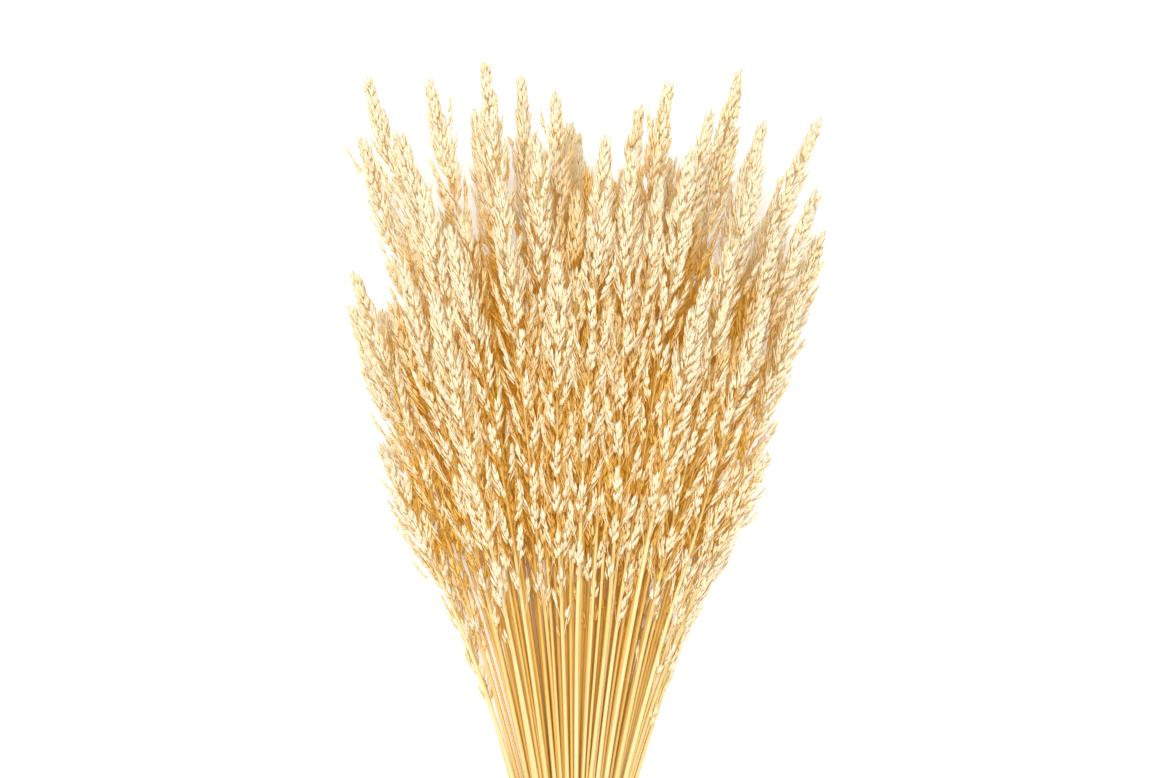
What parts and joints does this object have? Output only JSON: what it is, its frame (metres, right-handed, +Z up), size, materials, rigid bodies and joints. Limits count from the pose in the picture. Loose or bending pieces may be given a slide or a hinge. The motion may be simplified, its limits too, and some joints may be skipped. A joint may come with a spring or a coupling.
{
  "type": "bundle of dried diss grass",
  "caption": "Tied bundle of dried diss grass: straight straw-gold culms that fan out from a twine tie into long, narrow, cream seed heads; it lies on a surface.",
  "frame": {"origin": "on the surface that the bundle lies on, under the middle of the tie", "axes": "+Y along the bundle towards the seed heads, +X to the right seen from above, +Z up from the surface"},
  "size_m": [0.389, 0.7922, 0.1337],
  "materials": {
    "dried_grass": "dry matt straw, golden on the culms and pale cream on the spikelets",
    "twine": "rough brown plant-fibre twine"
  },
  "bodies": {
    "root": {"stem_01": "dried_grass", "stem_02": "dried_grass", "stem_03": "dried_grass", "stem_04": "dried_grass", "stem_05": "dried_grass", "stem_06": "dried_grass", "stem_07": "dried_grass", "stem_08": "dried_grass", "stem_09": "dried_grass", "stem_10": "dried_grass", "stem_11": "dried_grass", "stem_12": "dried_grass", "stem_13": "dried_grass", "stem_14": "dried_grass", "stem_15": "dried_grass", "stem_16": "dried_grass", "stem_17": "dried_grass", "stem_18": "dried_grass", "stem_19": "dried_grass", "stem_20": "dried_grass", "stem_21": "dried_grass", "stem_22": "dried_grass", "stem_23": "dried_grass", "stem_24": "dried_grass", "stem_25": "dried_grass", "stem_26": "dried_grass", "stem_27": "dried_grass", "stem_28": "dried_grass", "stem_29": "dried_grass", "stem_30": "dried_grass", "stem_31": "dried_grass", "stem_32": "dried_grass", "stem_33": "dried_grass", "stem_34": "dried_grass", "stem_35": "dried_grass", "stem_36": "dried_grass", "stem_37": "dried_grass", "stem_38": "dried_grass", "stem_39": "dried_grass", "stem_40": "dried_grass", "stem_41": "dried_grass", "stem_42": "dried_grass", "stem_43": "dried_grass", "stem_44": "dried_grass", "stem_45": "dried_grass", "stem_46": "dried_grass", "stem_47": "dried_grass", "stem_48": "dried_grass", "stem_49": "dried_grass", "stem_50": "dried_grass", "stem_51": "dried_grass", "stem_52": "dried_grass", "stem_53": "dried_grass", "stem_54": "dried_grass", "stem_55": "dried_grass", "stem_56": "dried_grass", "tie": "twine"}
  },
  "joints": []
}
